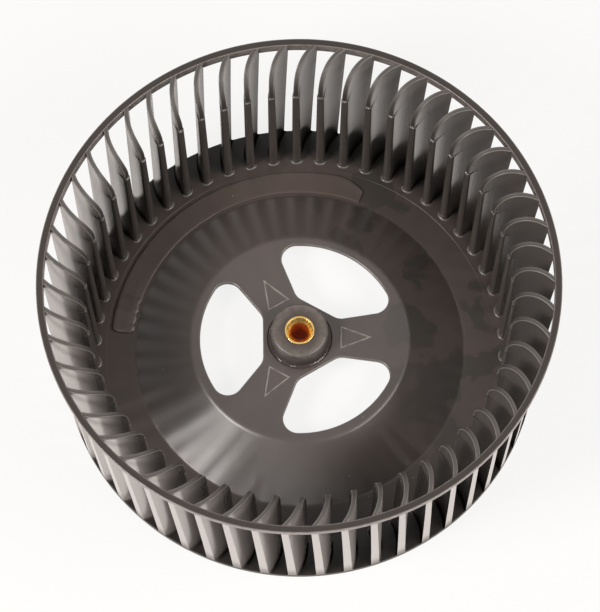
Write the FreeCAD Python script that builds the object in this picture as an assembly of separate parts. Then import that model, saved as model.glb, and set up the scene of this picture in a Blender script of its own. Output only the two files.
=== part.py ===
import FreeCAD, Part
import math
import os

# The fan wheel of a range hood: a drum of curved blades between a disc and a ring, moulded in
# one piece, with a brass bush in its hub for the motor's shaft and a flat balancing strip stuck
# on the disc. Z runs up the shaft towards the open inlet. The origin is the middle of the
# underside. Angles are counted from X towards Y. All lengths are in millimetres.

# Whole wheel
WHEEL_HEIGHT = 89.0
RING_RADIUS = 110.0
DISC_INSIDE_RING = 6.4

# Ring round the tops of the blades
RING_WIDTH = 3.1
RING_OUTER_SIDE = 2.7
RING_INNER_SIDE = 6.0

# Blades
BLADE_COUNT = 54
BLADE_FIRST_ANGLE = 3.6
BLADE_DEPTH = 16.3
BLADE_NOSE_DRAFT = 2.6
BLADE_ENTRY_ANGLE = 3.0
BLADE_EXIT_ANGLE = 44.0
BLADE_NOSE_THICKNESS = 3.4
BLADE_NOSE_FLAT = 1.4
BLADE_TAIL_THICKNESS = 2.4
BLADE_FLAT_TOP = 1.9
BLADE_BELOW_RING_TOP = 0.6
BLADE_BITE = 0.7
BLADE_TAIL_INSET = 0.15
BLADE_SPARE = 1.5

# Disc, cone and raised middle
WALL = 2.0
STEP_FROM_BLADES = 2.8
STEP_HEIGHT = 0.5
FLOOR_WIDTH = 12.8
CREASE_ROUNDING = 3.0
MIDDLE_RADIUS = 47.3
MIDDLE_HEIGHT = 16.0
MIDDLE_ROUNDING = 6.0

# Three openings round the hub
OPENING_COUNT = 3
OPENING_FIRST_ANGLE = 60.0
OPENING_INSIDE_MIDDLE = 3.8
OPENING_FLAT_DISTANCE = 16.0
OPENING_FLAT_WIDTH = 21.0
OPENING_SIDE_ANGLE = 51.5
OPENING_CORNER = 6.6

# Hub
BOSS_TOP = 26.2
BOSS_BASE_RADIUS = 12.7
BOSS_TOP_RADIUS = 12.4
BOSS_BEVEL = 1.0
MOAT_WIDTH = 1.4
MOAT_DEPTH = 0.5
SLEEVE_RADIUS = 10.5
HUB_FOOT = 4.0
RIB_THICKNESS = 2.0
RIB_DEPTH = 6.0

# Brass bush
BUSH_RADIUS = 6.5
BORE_RADIUS = 4.0
BORE_FLARE = 1.7

# Balancing strip
STRIP_FROM_CREASE = 0.1
STRIP_FROM_STEP = 2.0
STRIP_THICKNESS = 1.0
STRIP_START_ANGLE = 70.0
STRIP_END_ANGLE = 174.0
STRIP_CORNER = 4.0

# Heights and radii that follow from the sizes above
DISC_TOP = WALL + STEP_HEIGHT
MIDDLE_UNDERSIDE = MIDDLE_HEIGHT - WALL
DISC_RADIUS = RING_RADIUS - DISC_INSIDE_RING
RING_INNER_RADIUS = RING_RADIUS - RING_WIDTH
BLADE_TOP = WHEEL_HEIGHT - BLADE_BELOW_RING_TOP
BLADE_ROOT = DISC_TOP - WALL / 2
BLADE_NOSE_RADIUS = RING_INNER_RADIUS - BLADE_DEPTH
BLADE_FOOT_RADIUS = BLADE_NOSE_RADIUS - BLADE_NOSE_DRAFT
BLADE_TAIL_RADIUS = RING_INNER_RADIUS + BLADE_BITE
BLADE_SHOULDER = BLADE_DEPTH - BLADE_FLAT_TOP
STEP_RADIUS = BLADE_FOOT_RADIUS - STEP_FROM_BLADES
CREASE_RADIUS = STEP_RADIUS - FLOOR_WIDTH
OPENING_ARC_RADIUS = MIDDLE_RADIUS - OPENING_INSIDE_MIDDLE
CONE_ANGLE = math.atan2(MIDDLE_HEIGHT - WALL, CREASE_RADIUS - MIDDLE_RADIUS)
UNDERSIDE_SHIFT = WALL * math.tan(CONE_ANGLE / 2)
CREASE_END = CREASE_RADIUS + CREASE_ROUNDING * math.tan(CONE_ANGLE / 2)
STRIP_INNER_RADIUS = CREASE_END + STRIP_FROM_CREASE
STRIP_OUTER_RADIUS = STEP_RADIUS - STRIP_FROM_STEP

AXIS = FreeCAD.Vector(0, 0, 1)
ORIGIN = FreeCAD.Vector(0, 0, 0)


def side_point(radius, height):
    return FreeCAD.Vector(radius, 0, height)


def corner_points(before, here, after, rounding):
    """Start, middle and end of the arc that rounds a corner."""
    back = (before - here).normalize()
    ahead = (after - here).normalize()
    half = back.getAngle(ahead) / 2
    reach = rounding / math.tan(half)
    inward = (back + ahead).normalize()
    middle = here + inward * (rounding / math.sin(half) - rounding)
    return here + back * reach, middle, here + ahead * reach


def outline_wire(corners, true_arcs=False):
    """A closed flat wire through (point, rounding) corners. A plain point stays sharp.

    Shallow bends get two straight pieces through the middle of their arc, steep ones an arc.
    """
    edges = []
    stops = []
    for place, corner in enumerate(corners):
        here = corner[0]
        if len(corner) == 1:
            stops.append([here])
            continue
        before = corners[place - 1][0]
        after = corners[(place + 1) % len(corners)][0]
        stops.append(list(corner_points(before, here, after, corner[1])))
    for place, points in enumerate(stops):
        following = stops[(place + 1) % len(stops)][0]
        if len(points) == 3 and true_arcs:
            edges.append(Part.Arc(*points))
        elif len(points) == 3:
            edges.append(Part.LineSegment(points[0], points[1]))
            edges.append(Part.LineSegment(points[1], points[2]))
        edges.append(Part.LineSegment(points[-1], following))
    return Part.Wire([edge.toShape() for edge in edges])


def turned(corners):
    """A solid turned about the shaft from an outline in the plane through it."""
    return Part.Face(outline_wire(corners)).revolve(ORIGIN, AXIS, 360)


def turned_copies(shape, count):
    copies = []
    for place in range(count):
        copy = shape.copy()
        copy.rotate(ORIGIN, AXIS, place * 360.0 / count)
        copies.append(copy)
    return copies


def upright_edges(prism):
    """The edges of a prism that run from its bottom to its top."""
    height = prism.BoundBox.ZLength
    return [edge for edge in prism.Edges if edge.BoundBox.ZLength > height / 2]


def disc_and_hub():
    """Flat rim, cone, raised middle, boss and sleeve as one turned wall."""
    moat_radius = BOSS_BASE_RADIUS + MOAT_WIDTH
    moat_floor = MIDDLE_HEIGHT - MOAT_DEPTH
    return turned([
        (side_point(0, HUB_FOOT),),
        (side_point(SLEEVE_RADIUS, HUB_FOOT),),
        (side_point(SLEEVE_RADIUS, MIDDLE_UNDERSIDE),),
        (side_point(MIDDLE_RADIUS - UNDERSIDE_SHIFT, MIDDLE_UNDERSIDE),),
        (side_point(CREASE_RADIUS - UNDERSIDE_SHIFT, 0),),
        (side_point(DISC_RADIUS, 0),),
        (side_point(DISC_RADIUS, DISC_TOP),),
        (side_point(STEP_RADIUS, DISC_TOP),),
        (side_point(STEP_RADIUS, WALL),),
        (side_point(CREASE_RADIUS, WALL), CREASE_ROUNDING),
        (side_point(MIDDLE_RADIUS, MIDDLE_HEIGHT), MIDDLE_ROUNDING),
        (side_point(moat_radius, MIDDLE_HEIGHT),),
        (side_point(moat_radius, moat_floor),),
        (side_point(BOSS_BASE_RADIUS, moat_floor),),
        (side_point(BOSS_TOP_RADIUS, BOSS_TOP - BOSS_BEVEL),),
        (side_point(BOSS_TOP_RADIUS - BOSS_BEVEL, BOSS_TOP),),
        (side_point(0, BOSS_TOP),),
    ])


def opening_cutter():
    """One opening: a flat side by the hub, two slanting sides and an arc inside the cone."""
    side = math.radians(OPENING_SIDE_ANGLE)
    half = OPENING_FLAT_WIDTH / 2
    far = OPENING_FLAT_DISTANCE + OPENING_ARC_RADIUS * math.cos(side)
    wide = half + OPENING_ARC_RADIUS * math.sin(side)
    corners = [
        FreeCAD.Vector(OPENING_FLAT_DISTANCE, -half, 0),
        FreeCAD.Vector(far, -wide, 0),
        FreeCAD.Vector(far, wide, 0),
        FreeCAD.Vector(OPENING_FLAT_DISTANCE, half, 0),
    ]
    outline = Part.Face(Part.makePolygon(corners + corners[:1]))
    wedge = outline.extrude(AXIS * BOSS_TOP)
    prism = wedge.common(Part.makeCylinder(OPENING_ARC_RADIUS, BOSS_TOP))
    return prism.makeFillet(OPENING_CORNER, upright_edges(prism))


def rib():
    """One rib under the raised middle, from the sleeve to the cone."""
    plate = Part.makeBox(MIDDLE_RADIUS, RIB_THICKNESS, RIB_DEPTH + WALL / 2)
    plate.translate(FreeCAD.Vector(0, -RIB_THICKNESS / 2, MIDDLE_UNDERSIDE - RIB_DEPTH))
    return plate


def blade_middle_line():
    """Centre and radius of the arc that meets both blade radii at the entry and exit angles."""
    entry = math.radians(BLADE_ENTRY_ANGLE)
    leave = math.radians(BLADE_EXIT_ANGLE)
    growth = RING_INNER_RADIUS ** 2 - BLADE_NOSE_RADIUS ** 2
    lean = RING_INNER_RADIUS * math.sin(leave) - BLADE_NOSE_RADIUS * math.sin(entry)
    curve = growth / (2 * lean)
    centre = FreeCAD.Vector(BLADE_NOSE_RADIUS - curve * math.sin(entry), -curve * math.cos(entry), BLADE_ROOT)
    return centre, curve


def blade_direction(radius):
    """Direction from the arc's centre to the point of the middle line at this wheel radius."""
    centre, curve = blade_middle_line()
    distance = math.hypot(centre.x, centre.y)
    share = (radius ** 2 - distance ** 2 - curve ** 2) / (2 * distance * curve)
    return math.atan2(centre.y, centre.x) + math.acos(share)


def blade_point(direction, offset):
    centre, curve = blade_middle_line()
    reach = curve + offset
    return centre + FreeCAD.Vector(reach * math.cos(direction), reach * math.sin(direction), 0)


def blade_plan():
    """The blade seen from above: an arc that thins from its nose to its tail."""
    nose = blade_direction(BLADE_FOOT_RADIUS - BLADE_SPARE)
    tail = blade_direction(BLADE_TAIL_RADIUS + BLADE_SPARE)
    middle = (nose + tail) / 2
    nose_half = BLADE_NOSE_THICKNESS / 2
    tail_half = BLADE_TAIL_THICKNESS / 2
    middle_half = (nose_half + tail_half) / 2
    stations = ((nose, nose_half), (middle, middle_half), (tail, tail_half))
    hollow = [blade_point(direction, -half) for direction, half in stations]
    bulging = [blade_point(direction, half) for direction, half in stations]
    outline = [
        Part.Arc(*bulging),
        Part.LineSegment(bulging[-1], hollow[-1]),
        Part.Arc(*hollow),
        Part.LineSegment(hollow[0], bulging[0]),
    ]
    return Part.Wire(Part.sortEdges([piece.toShape() for piece in outline])[0])


def nose_space():
    """Space with a pointed inner end that bevels the nose and leans outwards with its draft."""
    flat = BLADE_NOSE_FLAT / 2
    full = BLADE_NOSE_THICKNESS / 2
    point = BLADE_FOOT_RADIUS - flat
    bevel_end = point + full
    spread = RING_RADIUS - bevel_end
    corners = [
        FreeCAD.Vector(point, 0, BLADE_ROOT),
        FreeCAD.Vector(bevel_end, -full, BLADE_ROOT),
        FreeCAD.Vector(RING_RADIUS, -spread, BLADE_ROOT),
        FreeCAD.Vector(RING_RADIUS, spread, BLADE_ROOT),
        FreeCAD.Vector(bevel_end, full, BLADE_ROOT),
    ]
    outline = Part.Face(Part.makePolygon(corners + corners[:1]))
    return outline.extrude(FreeCAD.Vector(BLADE_NOSE_DRAFT, 0, BLADE_TOP - BLADE_ROOT))


def across_blade(outline, degrees):
    """A flat outline in the plane through the shaft, made a prism across one blade."""
    width = RING_RADIUS - BLADE_FOOT_RADIUS
    space = Part.Face(outline).extrude(FreeCAD.Vector(0, 2 * width, 0))
    space.translate(FreeCAD.Vector(0, -width, 0))
    space.rotate(ORIGIN, AXIS, degrees)
    return space


def inlet_space():
    """The leaning nose of a blade, the round shoulder above it and the flat top."""
    return across_blade(outline_wire([
        (side_point(BLADE_FOOT_RADIUS, BLADE_ROOT),),
        (side_point(BLADE_NOSE_RADIUS, BLADE_TOP), BLADE_SHOULDER),
        (side_point(RING_RADIUS, BLADE_TOP),),
        (side_point(RING_RADIUS, BLADE_ROOT),),
    ], true_arcs=True), 0)


def outlet_space(degrees):
    """The straight outer edge of a blade, from the disc's edge up into the ring."""
    return across_blade(outline_wire([
        (side_point(0, BLADE_ROOT),),
        (side_point(DISC_RADIUS - WALL, BLADE_ROOT),),
        (side_point(DISC_RADIUS - BLADE_TAIL_INSET, DISC_TOP),),
        (side_point(BLADE_TAIL_RADIUS, BLADE_TOP),),
        (side_point(0, BLADE_TOP),),
    ]), degrees)


def blade():
    tail = blade_point(blade_direction(BLADE_TAIL_RADIUS), 0)
    tail_angle = math.degrees(math.atan2(tail.y, tail.x))
    shape = Part.Face(blade_plan()).extrude(AXIS * (BLADE_TOP - BLADE_ROOT))
    for space in (nose_space(), inlet_space(), outlet_space(tail_angle)):
        shape = shape.common(space)
    shape.rotate(ORIGIN, AXIS, BLADE_FIRST_ANGLE)
    return shape


def ring():
    return turned([
        (side_point(RING_INNER_RADIUS, WHEEL_HEIGHT - RING_INNER_SIDE),),
        (side_point(RING_RADIUS, WHEEL_HEIGHT - RING_OUTER_SIDE),),
        (side_point(RING_RADIUS, WHEEL_HEIGHT),),
        (side_point(RING_INNER_RADIUS, WHEEL_HEIGHT),),
    ])


def bush():
    """A turned brass sleeve, flush with both ends of the hub, its bore flared at the top."""
    return turned([
        (side_point(BORE_RADIUS, HUB_FOOT),),
        (side_point(BUSH_RADIUS, HUB_FOOT),),
        (side_point(BUSH_RADIUS, BOSS_TOP),),
        (side_point(BORE_RADIUS + BORE_FLARE, BOSS_TOP),),
        (side_point(BORE_RADIUS, BOSS_TOP - BORE_FLARE),),
    ])


def wheel():
    body = disc_and_hub()
    body = body.multiFuse(turned_copies(rib(), OPENING_COUNT))
    cutter = opening_cutter()
    cutter.rotate(ORIGIN, AXIS, OPENING_FIRST_ANGLE)
    body = body.cut(Part.makeCompound(turned_copies(cutter, OPENING_COUNT)))
    body = body.cut(Part.makeCylinder(BUSH_RADIUS, BOSS_TOP - HUB_FOOT, side_point(0, HUB_FOOT)))
    body = body.multiFuse([ring()] + turned_copies(blade(), BLADE_COUNT))
    return body.removeSplitter()


def balance_strip():
    """A flat band along the disc, as a sector of a ring with rounded corners."""
    sweep = STRIP_END_ANGLE - STRIP_START_ANGLE
    base = ORIGIN + AXIS * WALL
    band = Part.makeCylinder(STRIP_OUTER_RADIUS, STRIP_THICKNESS, base, AXIS, sweep)
    band = band.cut(Part.makeCylinder(STRIP_INNER_RADIUS, STRIP_THICKNESS, base, AXIS, sweep))
    band = band.makeFillet(STRIP_CORNER, upright_edges(band))
    band.rotate(ORIGIN, AXIS, STRIP_START_ANGLE)
    return band


def only_solid(shape):
    solids = shape.Solids
    if len(solids) != 1:
        raise ValueError("expected one solid, got %d" % len(solids))
    return solids[0]


def main():
    os.makedirs("parts", exist_ok=True)
    nodes = {"wheel": wheel(), "bush": bush(), "balance_strip": balance_strip()}
    for name, shape in nodes.items():
        solid = only_solid(shape)
        solid.exportStep("parts/" + name + ".step")
        box = solid.BoundBox
        print(name, "valid", solid.isValid(), "volume %.0f" % solid.Volume,
              "faces", len(solid.Faces), "x %.2f..%.2f y %.2f..%.2f z %.2f..%.2f"
              % (box.XMin, box.XMax, box.YMin, box.YMax, box.ZMin, box.ZMax))


main()
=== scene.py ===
import math
from collections import namedtuple

import bmesh
import bpy
from mathutils import Matrix, Vector
from mathutils.geometry import tessellate_polygon


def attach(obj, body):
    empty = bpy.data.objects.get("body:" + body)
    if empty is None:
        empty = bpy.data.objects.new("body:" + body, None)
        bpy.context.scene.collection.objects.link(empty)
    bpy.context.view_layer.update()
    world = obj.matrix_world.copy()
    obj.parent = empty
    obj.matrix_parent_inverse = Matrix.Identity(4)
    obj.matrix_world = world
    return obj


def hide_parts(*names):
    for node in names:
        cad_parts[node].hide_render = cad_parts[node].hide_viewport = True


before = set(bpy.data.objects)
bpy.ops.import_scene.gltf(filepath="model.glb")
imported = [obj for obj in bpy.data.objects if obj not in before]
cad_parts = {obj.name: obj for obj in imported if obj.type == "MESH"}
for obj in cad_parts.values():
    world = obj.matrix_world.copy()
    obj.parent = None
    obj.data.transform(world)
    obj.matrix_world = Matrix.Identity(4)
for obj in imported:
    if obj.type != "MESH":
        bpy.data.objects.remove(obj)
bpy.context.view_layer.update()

# The dressed model of a range hood's fan wheel: a drum of curved blades between a coned disc and
# a ring, a brass bush in the hub and a balancing strip on the disc. Lengths are in millimetres
# until a mesh is made, and angles are in degrees.

MILLIMETRE = 0.001
BODY = "root"

# Whole wheel
WHEEL_HEIGHT = 89.0
RING_RADIUS = 109.96
RING_INNER_RADIUS = 106.9
RING_OUTER_SIDE = 2.7
RING_INNER_SIDE = 6.0
RING_EDGE = 0.35
RING_HOLLOW = 0.12
RING_HOLLOW_STEPS = 8
RING_HIGHLIGHT_WIDTH = 0.28
TURN_STEPS = 288

# Disc, cone and raised middle
WALL = 2.0
DISC_RADIUS = 103.6
DISC_TOP = 2.5
DISC_EDGE = 0.3
STEP_RADIUS = 85.2
STEP_EDGE = 0.15
CREASE_RADIUS = 72.4
CREASE_ROUNDING = 3.0
MIDDLE_RADIUS = 47.3
MIDDLE_HEIGHT = 16.0
MIDDLE_ROUNDING = 6.0
MIDDLE_FLAT_RADIUS = 45.0
UNDERSIDE_SHIFT = WALL * math.tan(math.atan2(MIDDLE_HEIGHT - WALL, CREASE_RADIUS - MIDDLE_RADIUS) / 2)

# Three openings round the hub
OPENING_COUNT = 3
OPENING_FIRST_ANGLE = 60.0
OPENING_ARC_RADIUS = 43.5
OPENING_FLAT_DISTANCE = 16.0
OPENING_FLAT_HALF = 10.5
OPENING_SIDE_ANGLE = 51.5
OPENING_CORNER = 6.6
OPENING_TOP_EDGE = 0.55
OPENING_UNDER_EDGE = 0.3

# Hub
BOSS_TOP = 26.2
BOSS_BASE_RADIUS = 12.7
BOSS_TOP_RADIUS = 12.4
BOSS_EDGE = 1.3
MOAT_RADIUS = 14.1
MOAT_FLOOR = 15.5
MOAT_EDGE = 0.2
SLEEVE_RADIUS = 10.5
SLEEVE_ROUNDING = 0.8
SLEEVE_FOOT_EDGE = 0.4
HUB_FOOT = 4.0
FLAT_PAST_SLEEVE = 1.2
FLAT_PAST_MOAT = 0.4
RIB_THICKNESS = 2.0
RIB_DEPTH = 6.0
RIB_EDGE = 0.35
RIB_IN_SLEEVE = 0.5
RIB_COUNT = 3

# Brass bush
BUSH_RADIUS = 6.5
BORE_RADIUS = 4.0
BORE_FLARE = 1.7
BUSH_EDGE = 0.2

# Blades, with entry and exit angles off the radius
BLADE_COUNT = 54
BLADE_FIRST_ANGLE = 3.6
BLADE_ARC_NOSE = 90.6
BLADE_ENTRY_ANGLE = 3.0
BLADE_EXIT_ANGLE = 44.0
BLADE_FOOT = 2.2
BLADE_TOP = 88.5
NOSE_FOOT_RADIUS = 88.0
NOSE_LEDGE_RADIUS = 89.8
NOSE_LEDGE_HEIGHT = 71.3
INLET_EDGE_RADIUS = 90.5
SHOULDER_HEIGHT = 74.3
SHOULDER_RADIUS = 14.4
BLADE_IN_RING = 107.4
TAIL_FOOT_RADIUS = 103.55
NOSE_WIDTH_FOOT = 3.4
NOSE_WIDTH_TOP = 2.0
TAIL_WIDTH_FOOT = 3.0
TAIL_WIDTH_TOP = 1.9
SWELL_FOOT = 0.4
SWELL_UNDER_LEDGE = 0.45
SWELL_OVER_LEDGE = 0.12
SWELL_REACH = 0.42
NOSE_EDGE_SHARE = 0.8
INLET_EDGE = 0.4
INLET_HOLLOW = 0.13
INLET_START_RISE = 0.6
LEDGE_SETBACK = 0.3
LEDGE_RISE = 0.25
FOOT_FILLET = 0.85
FOOT_HIGHLIGHT_HEIGHT = 0.34
NOSE_STEPS = 5
SHOULDER_STEPS = 16
CORNER_STEPS = 4
SIDE_STEPS = 10
SIDE_CROWDING = 1.6
TAIL_STEPS = 3
WELD_DISTANCE = 0.01

# What counts as the outside of the drum on a blade
TAIL_MARGIN = 0.02
OUTSIDE_RADIUS = 90.0
OUTSIDE_TURN = 0.1

# Balancing strip
STRIP_INNER_RADIUS = 73.35
STRIP_OUTER_RADIUS = 83.2
STRIP_UNDERSIDE = 2.0
STRIP_THICKNESS = 1.0
STRIP_TAPER_START = 77.0
STRIP_TAPER_END = 68.5
STRIP_TAPER_CURVE = 1.6
STRIP_TIP_RADIUS = 79.2
STRIP_LIGHT_EDGE_START = 147.0
STRIP_ROUGH_START = 161.0
STRIP_ROUGH_RISE = 3.0
STRIP_END = 174.0
STRIP_END_ROUNDING = 2.5
STRIP_EDGE = 0.3
STRIP_SAG = 0.12
STRIP_STEPS = 270
STRIP_FLAT_STEPS = 9

# Plain raised triangles on the spokes
TRIANGLE_APEX = 31.9
TRIANGLE_BASE = 17.6
TRIANGLE_HALF_WIDTH = 5.5
TRIANGLE_LINE = 0.9
TRIANGLE_HEIGHT = 0.35
TRIANGLE_SLOPE = 0.2
TRIANGLE_SINK = 0.05

# Squeezed-out beads round the boss: first and last angle, radius, thickness
FLASH_BEADS = (
    (-72, -24, 13.35, 0.34), (222, 234, 13.3, 0.3), (250, 262, 13.25, 0.26), (300, 309, 14.3, 0.22),
    (60, 84, 13.4, 0.22), (150, 171, 13.4, 0.24),
)
FLASH_STEP = 1.2
FLASH_SIDES = 8
FLASH_LIFT = 0.1

# Wear and painted light on the mesh, from a pale edge with a painted highlight (1) to a hollow with painted
# shade (-1)
OPENING_EDGE_PAINTED_HIGHLIGHT = 0.4
BOSS_RIM_PAINTED_HIGHLIGHT = 0.45
MOAT_PAINTED_SHADE = -0.2
RING_EDGE_PAINTED_HIGHLIGHT = 0.8
RING_HOLLOW_PAINTED_SHADE = -0.7
STRIP_INNER_EDGE_LIGHT = 0.22
STRIP_END_PAINTED_HIGHLIGHT = 0.3

SMOOTH_ANGLE = 32.0
OUTSIDE_FACES = "outside"
WEAR_AND_PAINTED_LIGHT = "wear"
TONE = "tone"


def polar(radius, degrees, height):
    turn = math.radians(degrees)
    return Vector((radius * math.cos(turn), radius * math.sin(turn), height))


def between(start, end, share):
    return start + (end - start) * share


def share_of(value, start, end):
    """How far a value has come from start to end: 0 before the start, 1 past the end."""
    return max(0.0, min(1.0, (value - start) / (end - start)))


def quarter_turn(steps):
    """Points round an edge of radius 1, as distances from the one face and from the other."""
    turns = [math.pi / 2 * step / steps for step in range(steps + 1)]
    return [(1 - math.cos(turn), 1 - math.sin(turn)) for turn in turns]


def in_scene(name, data):
    """A new object in the scene, at the origin."""
    thing = bpy.data.objects.new(name, data)
    bpy.context.scene.collection.objects.link(thing)
    return thing


def piece_from(name, points, faces, material):
    """A mesh object in metres, its faces turned outwards, smooth across shallow bends only."""
    mesh = bpy.data.meshes.new(name)
    mesh.from_pydata([point * MILLIMETRE for point in points], [], faces)
    mesh.validate()
    shape = bmesh.new()
    shape.from_mesh(mesh)
    bmesh.ops.recalc_face_normals(shape, faces=shape.faces)
    shape.to_mesh(mesh)
    shape.free()
    mesh.materials.append(material)
    mesh.shade_smooth()
    mesh.set_sharp_from_angle(angle=math.radians(SMOOTH_ANGLE))
    return in_scene(name, mesh)


def baked(piece):
    """The piece with its modifiers turned into plain mesh."""
    graph = bpy.context.evaluated_depsgraph_get()
    mesh = bpy.data.meshes.new_from_object(piece.evaluated_get(graph))
    mesh.name = piece.name
    piece.modifiers.clear()
    piece.data = mesh
    return piece


def with_steady_shading(piece):
    """Large flat faces keep their flat shading right up to the rounded edges."""
    steady = piece.modifiers.new("steady shading", "WEIGHTED_NORMAL")
    steady.mode = "FACE_AREA"
    steady.keep_sharp = True
    return baked(piece)


def rounded_line(corners, arc_step):
    """Points along (radius, height, rounding) corners, the arcs in steps of about arc_step degrees.

    A rounding of 0 leaves a corner sharp.
    """
    points = []
    for place, (radius, height, rounding) in enumerate(corners):
        here = Vector((radius, height))
        if rounding == 0:
            points.append(here)
            continue
        before = Vector(corners[place - 1][:2])
        after = Vector(corners[(place + 1) % len(corners)][:2])
        back = (before - here).normalized()
        ahead = (after - here).normalized()
        half = back.angle(ahead) / 2
        middle = here + (back + ahead).normalized() * (rounding / math.sin(half))
        first = here + back * (rounding / math.tan(half)) - middle
        sweep = math.pi - 2 * half
        if back.x * ahead.y - back.y * ahead.x > 0:
            sweep = -sweep
        steps = max(2, math.ceil(math.degrees(abs(sweep)) / arc_step))
        for step in range(steps + 1):
            turn = sweep * step / steps
            points.append(middle + Vector((
                first.x * math.cos(turn) - first.y * math.sin(turn),
                first.x * math.sin(turn) + first.y * math.cos(turn),
            )))
    return points


class Shell:
    """Collects points and faces of one closed piece."""

    def __init__(self):
        self.points = []
        self.faces = []
        self.wear = []

    def loop(self, points, wear=0.0):
        """Adds points and gives their numbers. Their wear and painted light is one number, or a list with
        one for each.
        """
        start = len(self.points)
        self.points.extend(points)
        self.wear.extend(wear if isinstance(wear, list) else [wear] * len(points))
        return list(range(start, len(self.points)))

    def ring_of(self, radius, height, wear=0.0):
        steps = range(TURN_STEPS)
        return self.loop([polar(radius, 360.0 * step / TURN_STEPS, height) for step in steps], wear)

    def bridge(self, lower, upper):
        """Joins two loops of points with faces all the way round."""
        for step in range(len(lower)):
            following = (step + 1) % len(lower)
            self.faces.append((lower[step], lower[following], upper[following], upper[step]))

    def tube(self, rows):
        """Joins rows of points one after the other and closes both ends."""
        for near, far in zip(rows, rows[1:]):
            self.bridge(near, far)
        self.faces.append(tuple(reversed(rows[0])))
        self.faces.append(tuple(rows[-1]))

    def turned(self, profile, closed=False, wear=lambda radius, height: 0.0):
        """Turns a profile about the shaft and returns its first and last rings of points."""
        rings = [self.ring_of(radius, height, wear(radius, height)) for radius, height in profile]
        for near, far in zip(rings, rings[1:]):
            self.bridge(near, far)
        if closed:
            self.bridge(rings[-1], rings[0])
        return rings[0], rings[-1]

    def plate(self, loops, facing_up):
        """Fills the flat space between an outer loop and the loops inside it."""
        order = [index for loop in loops for index in loop]
        for triangle in tessellate_polygon([[self.points[i] for i in loop] for loop in loops]):
            a, b, c = (self.points[order[i]] for i in triangle)
            upward = (b - a).cross(c - a).z > 0
            corners = [order[i] for i in triangle]
            self.faces.append(tuple(corners if upward == facing_up else reversed(corners)))

    def piece(self, name, material):
        piece = piece_from(name, self.points, self.faces, material)
        if any(self.wear):
            marks = piece.data.attributes.new(WEAR_AND_PAINTED_LIGHT, "FLOAT", "POINT")
            marks.data.foreach_set("value", self.wear)
        return piece


class NodeMaker:
    """Short calls for making the nodes of one tree."""

    def __init__(self, tree):
        self.nodes = tree.nodes
        self.links = tree.links

    def fill(self, socket, value):
        """Puts a value or a colour on a socket, or joins another node's output to it."""
        if isinstance(value, bpy.types.NodeSocket):
            self.links.new(value, socket)
        elif isinstance(value, tuple):
            socket.default_value = (*value, 1.0)
        else:
            socket.default_value = value

    def node(self, kind, inputs, output=0, **settings):
        """Makes a node, fills its inputs and gives one of its outputs."""
        made = self.nodes.new(kind)
        for title, value in settings.items():
            setattr(made, title, value)
        for socket, value in inputs.items():
            self.fill(made.inputs[socket], value)
        return made.outputs[output]

    def math(self, operation, *values):
        return self.node("ShaderNodeMath", dict(enumerate(values)), operation=operation)

    def product(self, first, *others):
        for value in others:
            first = self.math("MULTIPLY", first, value)
        return first


# Copies round the shaft, made by one node tree for blades, ribs and triangles

def tree_of_copies():
    """A node tree that sets copies of a shape round the shaft, each with its own slight tone."""
    tree = bpy.data.node_groups.new("copies round the shaft", "GeometryNodeTree")
    for title, kind in (
        ("Shape", "Object"), ("Count", "Int"), ("First Angle", "Float"), ("Seed", "Int"),
        ("Finish", "Material"), ("Outside Finish", "Material"),
    ):
        tree.interface.new_socket(name=title, in_out="INPUT", socket_type="NodeSocket" + kind)
    tree.interface.new_socket(name="Geometry", in_out="OUTPUT", socket_type="NodeSocketGeometry")
    maker = NodeMaker(tree)
    node = maker.node
    given = tree.nodes.new("NodeGroupInput").outputs
    share = maker.math("DIVIDE", node("GeometryNodeInputIndex", {}), given["Count"])
    turn = maker.math("MULTIPLY_ADD", share, math.tau, given["First Angle"])
    copies = node("GeometryNodeInstanceOnPoints", {
        "Points": node("GeometryNodePoints", {"Count": given["Count"]}),
        "Instance": node("GeometryNodeObjectInfo", {"Object": given["Shape"]}, "Geometry"),
        "Rotation": node("ShaderNodeCombineXYZ", {"Z": turn}),
    })
    tone = node("FunctionNodeRandomValue", {"Seed": given["Seed"]}, 1)
    toned = node("GeometryNodeStoreNamedAttribute", {"Geometry": copies, "Name": TONE, "Value": tone},
                 domain="INSTANCE")
    real = node("GeometryNodeRealizeInstances", {"Geometry": toned})
    finished = node("GeometryNodeSetMaterial", {"Geometry": real, "Material": given["Finish"]})
    outside = node("GeometryNodeInputNamedAttribute", {"Name": OUTSIDE_FACES}, "Attribute",
                   data_type="BOOLEAN")
    whole = node("GeometryNodeSetMaterial", {
        "Geometry": finished, "Selection": outside, "Material": given["Outside Finish"],
    })
    maker.fill(tree.nodes.new("NodeGroupOutput").inputs["Geometry"], whole)
    return tree


def copies_round_shaft(name, shape, count, first_angle, seed, tree, material, outside=None):
    """The shape repeated round the shaft as one plain mesh. The single shape is removed."""
    piece = in_scene(name, bpy.data.meshes.new(name))
    pattern = piece.modifiers.new("pattern", "NODES")
    pattern.node_group = tree
    values = {
        "Shape": shape, "Count": count, "First Angle": math.radians(first_angle),
        "Seed": seed, "Finish": material, "Outside Finish": outside or material,
    }
    for socket in tree.interface.items_tree:
        if socket.name in values:
            pattern[socket.identifier] = values[socket.name]
    baked(piece)
    bpy.data.objects.remove(shape)
    return piece


# Disc with its cone, raised middle, openings and hub

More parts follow.
